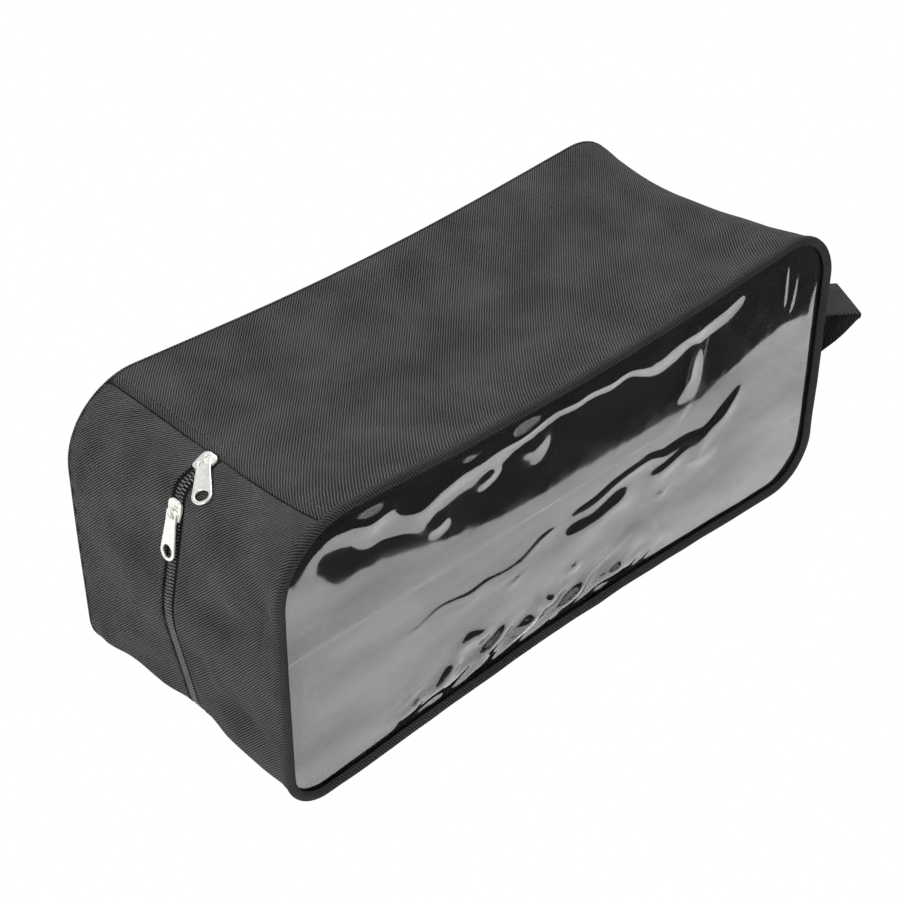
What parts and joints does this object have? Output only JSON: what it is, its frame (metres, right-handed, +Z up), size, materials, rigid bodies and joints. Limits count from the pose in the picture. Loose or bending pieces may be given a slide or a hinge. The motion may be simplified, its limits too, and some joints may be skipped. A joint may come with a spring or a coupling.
{
  "type": "shoe bag",
  "caption": "Soft zipped shoe bag with a clear front window, rounded fabric gussets, head-to-head zip sliders and a webbing carry loop",
  "frame": {"origin": "middle of the whole bag's footprint, loop included, on the surface it stands on", "axes": "+X along the bag from the zip sliders to the webbing loop, -Y out of the window, +Z up"},
  "size_m": [0.436, 0.14, 0.1505],
  "materials": {
    "fabric": "black woven polyester with a diagonal rib",
    "window": "clear soft vinyl sheet, glossy and creased",
    "webbing": "black woven webbing and seam tape",
    "zip": "black nylon coil and woven zip tape",
    "nickel": "bright nickel plate"
  },
  "bodies": {
    "bag": {"front_window": "window", "back_panel": "fabric", "plain_gusset": "fabric", "zip_gusset_front": "fabric", "zip_gusset_back": "fabric", "window_binding": "fabric", "front_seam_tape": "webbing", "back_seam_tape": "webbing", "shoulder_seam_tape": "webbing", "handle_seam_tape": "webbing", "zip_tape_front": "zip", "zip_tape_back": "zip", "zip_coil_front": "zip", "zip_coil_back": "zip", "handle_tab": "webbing"},
    "handle": {"handle_loop": "webbing"},
    "lower_slider": {"lower_slider_body": "nickel"},
    "lower_pull": {"lower_puller": "nickel"},
    "upper_slider": {"upper_slider_body": "nickel"},
    "upper_pull": {"upper_puller": "nickel"}
  },
  "joints": [
    {"name": "lower_slider_travel", "type": "slide", "parent": "bag", "child": "lower_slider", "axis": [-0.2166, 0, -0.9763], "range_m": [0, 0.034]},
    {"name": "lower_puller_flip", "type": "hinge", "parent": "lower_slider", "child": "lower_pull", "pos_m": [-0.21063, 0, 0.12172], "axis": [0, 1, 0], "range_deg": [0, 110]},
    {"name": "upper_slider_travel", "type": "slide", "parent": "bag", "child": "upper_slider", "axis": [-0.9524, 0, -0.3048], "range_m": [0, 0.003]},
    {"name": "upper_puller_flip", "type": "hinge", "parent": "upper_slider", "child": "upper_pull", "pos_m": [-0.19288, 0, 0.13836], "axis": [-0.6966, 0.682, -0.2229], "range_deg": [0, 100]},
    {"name": "handle_swing", "type": "hinge", "parent": "bag", "child": "handle", "pos_m": [0.12886, 0, 0.05795], "axis": [0, -1, 0], "range_deg": [-15, 30]}
  ]
}
